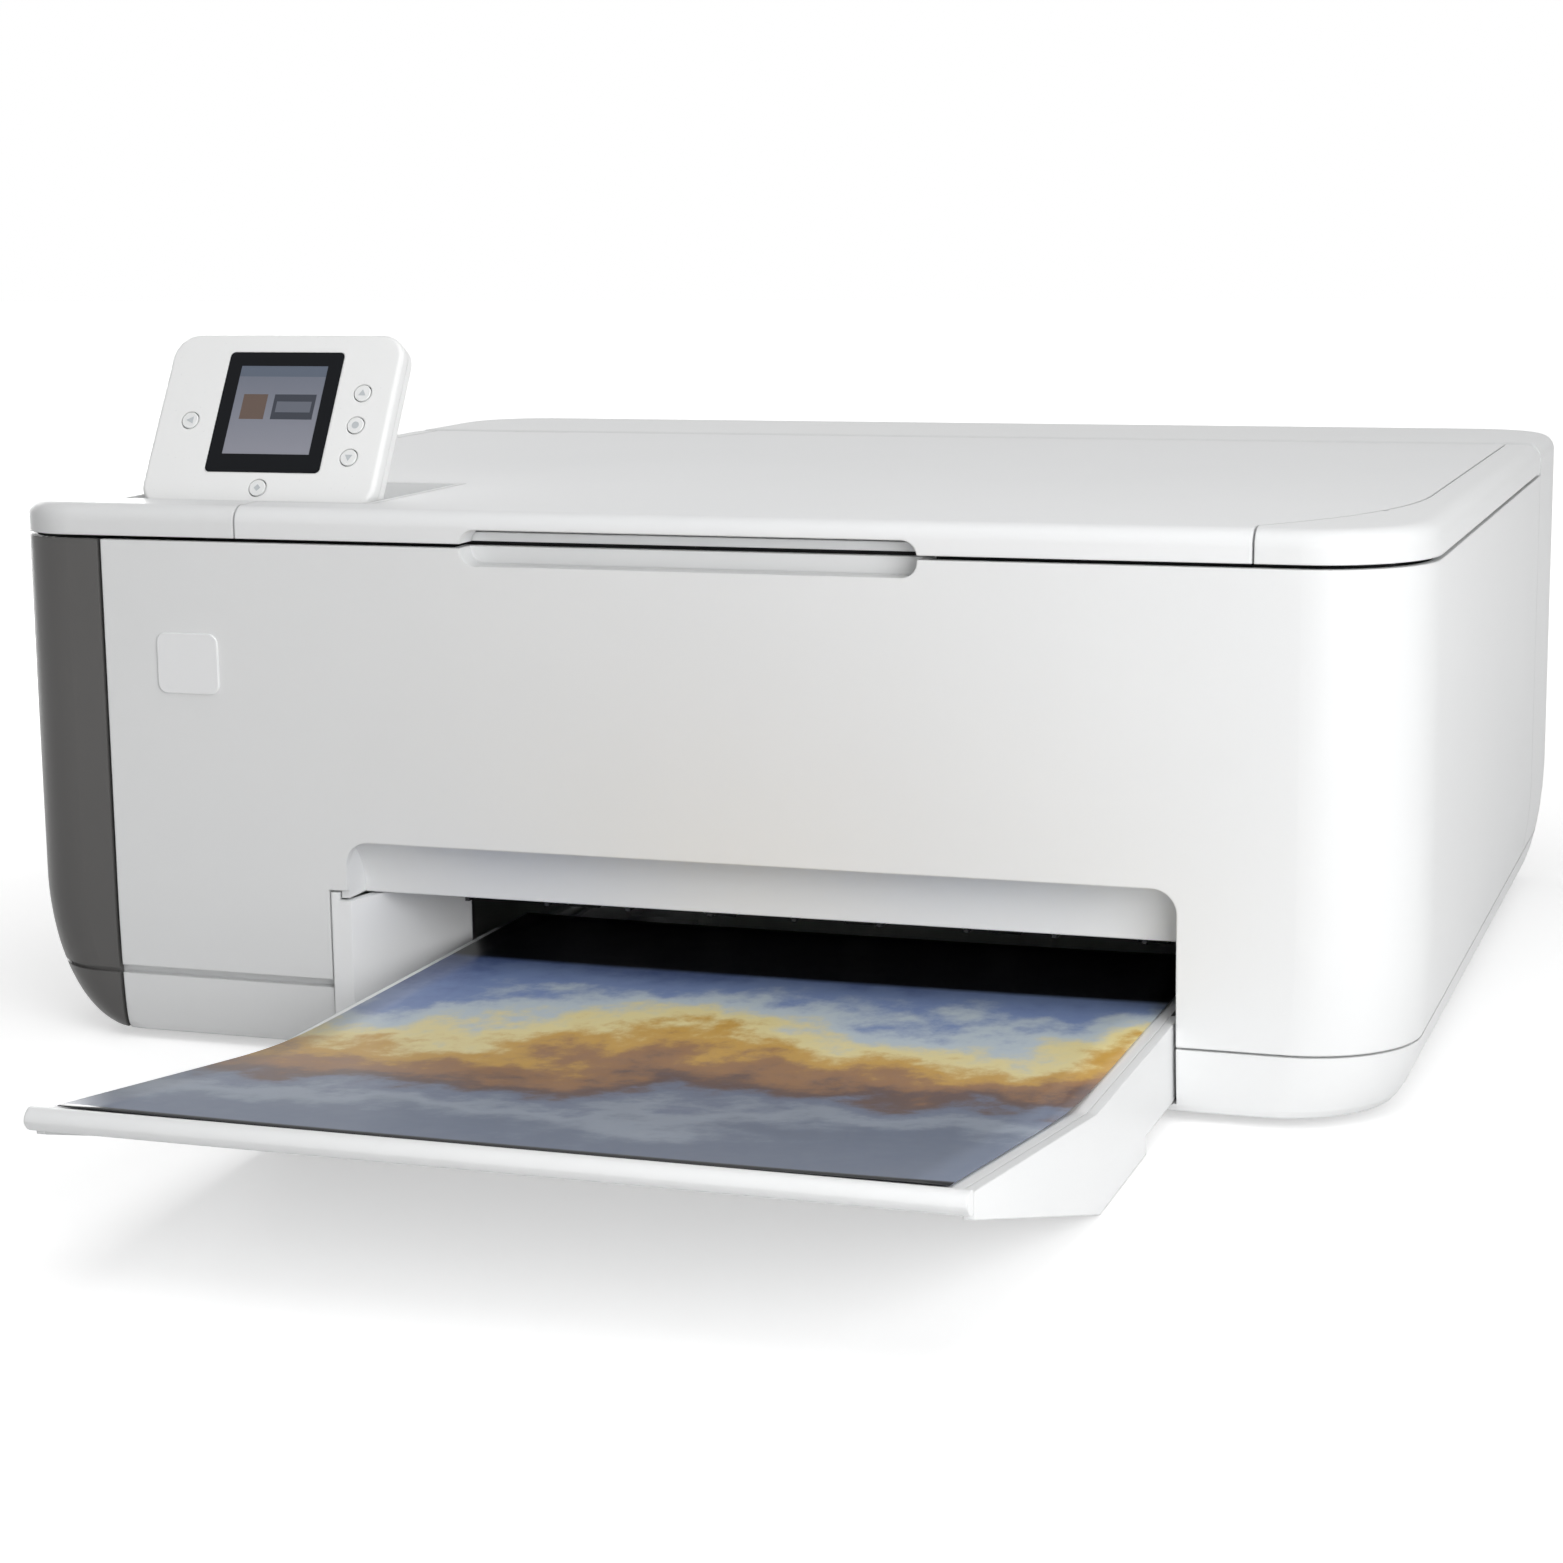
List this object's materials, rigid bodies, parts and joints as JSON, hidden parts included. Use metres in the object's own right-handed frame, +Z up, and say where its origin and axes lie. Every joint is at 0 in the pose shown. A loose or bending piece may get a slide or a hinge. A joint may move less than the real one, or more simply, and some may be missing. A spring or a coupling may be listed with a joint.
{
  "type": "inkjet printer",
  "caption": "Desktop inkjet printer with a flatbed scanner on top, fold-up display, front paper tray with a printed sheet, and a working carriage and roller drive.",
  "frame": {"origin": "on the table under the middle of the whole machine with its tray in place", "axes": "+X to the viewer's right, +Y from the tray to the back, +Z up"},
  "size_m": [0.42, 0.566, 0.2093],
  "materials": {
    "white_shell": "smooth satin white moulding",
    "lid_white": "fine-grained white moulding",
    "dark_shell": "fine-grained charcoal moulding",
    "inner_black": "plain black moulding",
    "inner_grey": "plain grey moulding",
    "bezel_black": "polished black",
    "screen": "lit display",
    "key_grey": "satin grey",
    "steel": "zinc-plated sheet",
    "shaft_steel": "ground shaft",
    "motor_steel": "drawn can",
    "rubber": "soft black rubber",
    "gear_white": "natural acetal",
    "glass": "clear float glass",
    "board_green": "solder-masked board",
    "foam_white": "white foam sheet",
    "paper": "coated photo paper",
    "ink_black": "black tank",
    "ink_cyan": "cyan tank",
    "ink_magenta": "magenta tank",
    "ink_yellow": "yellow tank"
  },
  "bodies": {
    "base": {"base_pan": "white_shell", "rubber_feet": "rubber", "left_side_cover": "dark_shell", "front_cover": "white_shell", "rear_cover": "white_shell", "hinge_pins": "shaft_steel", "power_inlet": "inner_black", "data_port": "steel", "side_jamb": "white_shell", "exit_liner": "inner_black", "left_frame": "steel", "right_frame": "steel", "rear_beam": "steel", "guide_rod": "shaft_steel", "carriage_motor": "motor_steel", "drive_belt": "rubber", "encoder_strip": "inner_grey", "feed_motor": "motor_steel", "platen": "inner_black", "service_station": "inner_grey", "main_board": "board_green"},
    "scanner_unit": {"scanner_frame": "white_shell", "scanner_tub": "inner_black", "scanner_glass": "glass", "scan_rail": "shaft_steel"},
    "scan_bar": {"scan_bar": "inner_grey"},
    "lid": {"lid": "lid_white", "lid_pad": "foam_white"},
    "display": {"display_front": "white_shell", "display_back": "white_shell", "display_bezel": "bezel_black", "display_screen": "screen"},
    "paper_tray": {"paper_tray": "white_shell", "output_plate": "white_shell", "printed_sheet": "paper"},
    "tray_extender": {"tray_extender": "white_shell"},
    "width_guide": {"width_guide": "key_grey"},
    "carriage": {"carriage": "inner_black", "ink_black": "ink_black", "ink_cyan": "ink_cyan", "ink_magenta": "ink_magenta", "ink_yellow": "ink_yellow"},
    "motor_pulley": {"motor_pulley": "gear_white"},
    "idler_pulley": {"idler_pulley": "gear_white"},
    "feed_roller": {"feed_roller": "rubber", "feed_gear": "gear_white"},
    "exit_roller": {"exit_roller": "rubber", "exit_gear": "gear_white"},
    "pick_roller": {"pick_roller": "rubber", "pick_gear": "gear_white"},
    "idler_gear": {"idler_gear": "gear_white"},
    "motor_pinion": {"motor_pinion": "gear_white"},
    "star_wheels": {"star_wheel_shaft": "shaft_steel"},
    "rear_door": {"rear_access_door": "white_shell"},
    "key_back": {"key_back": "key_grey"},
    "key_up": {"key_up": "key_grey"},
    "key_ok": {"key_ok": "key_grey"},
    "key_down": {"key_down": "key_grey"},
    "key_start": {"key_start": "key_grey"}
  },
  "joints": [
    {"name": "scanner_lift", "type": "hinge", "parent": "base", "child": "scanner_unit", "pos_m": [0, 0.209, 0.16], "axis": [-1, 0, 0], "range_deg": [0, 35]},
    {"name": "lid_hinge", "type": "hinge", "parent": "scanner_unit", "child": "lid", "pos_m": [0, 0.209, 0.16], "axis": [-1, 0, 0], "range_deg": [0, 75]},
    {"name": "scan_bar_slide", "type": "slide", "parent": "scanner_unit", "child": "scan_bar", "axis": [1, 0, 0], "range_m": [0, 0.25]},
    {"name": "display_tilt", "type": "hinge", "parent": "scanner_unit", "child": "display", "pos_m": [-0.1365, -0.0545, 0.1605], "axis": [1, 0, 0], "range_deg": [-59, 20]},
    {"name": "tray_slide", "type": "slide", "parent": "base", "child": "paper_tray", "axis": [0, -1, 0], "range_m": [0, 0.15]},
    {"name": "extender_slide", "type": "slide", "parent": "paper_tray", "child": "tray_extender", "axis": [0, -0.9915, 0.1302], "range_m": [0, 0.07]},
    {"name": "width_guide_slide", "type": "slide", "parent": "paper_tray", "child": "width_guide", "axis": [1, 0, 0], "range_m": [0, 0.05]},
    {"name": "carriage_slide", "type": "slide", "parent": "base", "child": "carriage", "axis": [1, 0, 0], "range_m": [-0.13, 0.13]},
    {"name": "motor_pulley_spin", "type": "hinge", "parent": "base", "child": "motor_pulley", "pos_m": [-0.16, 0.077, 0.088], "axis": [0, 1, 0], "range_deg": [-1150, 1150]},
    {"name": "idler_pulley_spin", "type": "hinge", "parent": "base", "child": "idler_pulley", "pos_m": [0.16, 0.077, 0.088], "axis": [0, 1, 0], "range_deg": [-1150, 1150]},
    {"name": "feed_roller_spin", "type": "hinge", "parent": "base", "child": "feed_roller", "pos_m": [0, 0.059, 0.036], "axis": [1, 0, 0], "continuous": true},
    {"name": "motor_pinion_spin", "type": "hinge", "parent": "base", "child": "motor_pinion", "pos_m": [-0.1795, 0.07855, 0.04311], "axis": [1, 0, 0], "continuous": true},
    {"name": "idler_gear_spin", "type": "hinge", "parent": "base", "child": "idler_gear", "pos_m": [-0.1795, 0.03467, 0.04397], "axis": [1, 0, 0], "continuous": true},
    {"name": "exit_roller_spin", "type": "hinge", "parent": "base", "child": "exit_roller", "pos_m": [0, 0.007, 0.036], "axis": [1, 0, 0], "continuous": true},
    {"name": "pick_roller_spin", "type": "hinge", "parent": "base", "child": "pick_roller", "pos_m": [0, 0.09709, 0.03814], "axis": [1, 0, 0], "continuous": true},
    {"name": "star_wheel_spin", "type": "hinge", "parent": "base", "child": "star_wheels", "pos_m": [0, 0.007, 0.0463], "axis": [1, 0, 0], "continuous": true},
    {"name": "rear_door_hinge", "type": "hinge", "parent": "base", "child": "rear_door", "pos_m": [-0.015, 0.279, 0.0565], "axis": [-1, 0, 0], "range_deg": [0, 70]},
    {"name": "key_back_press", "type": "slide", "parent": "display", "child": "key_back", "axis": [0, 0.8572, -0.515], "range_m": [0, 0.0006], "stiffness_N_per_m": 300, "springref_m": -0.0004},
    {"name": "key_up_press", "type": "slide", "parent": "display", "child": "key_up", "axis": [0, 0.8572, -0.515], "range_m": [0, 0.0006], "stiffness_N_per_m": 300, "springref_m": -0.0004},
    {"name": "key_ok_press", "type": "slide", "parent": "display", "child": "key_ok", "axis": [0, 0.8572, -0.515], "range_m": [0, 0.0006], "stiffness_N_per_m": 300, "springref_m": -0.0004},
    {"name": "key_down_press", "type": "slide", "parent": "display", "child": "key_down", "axis": [0, 0.8572, -0.515], "range_m": [0, 0.0006], "stiffness_N_per_m": 300, "springref_m": -0.0004},
    {"name": "key_start_press", "type": "slide", "parent": "display", "child": "key_start", "axis": [0, 0.8572, -0.515], "range_m": [0, 0.0006], "stiffness_N_per_m": 300, "springref_m": -0.0004}
  ],
  "couplings": [
    {"joint": "motor_pulley_spin", "follows": "carriage_slide", "rad_per_m": -149.25},
    {"joint": "idler_pulley_spin", "follows": "carriage_slide", "rad_per_m": -149.25},
    {"joint": "motor_pinion_spin", "follows": "feed_roller_spin", "ratio": -3.3333},
    {"joint": "idler_gear_spin", "follows": "feed_roller_spin", "ratio": -1.6667},
    {"joint": "exit_roller_spin", "follows": "feed_roller_spin", "ratio": 0.83333},
    {"joint": "pick_roller_spin", "follows": "feed_roller_spin", "ratio": 1.1111},
    {"joint": "star_wheel_spin", "follows": "feed_roller_spin", "ratio": -1.25}
  ]
}
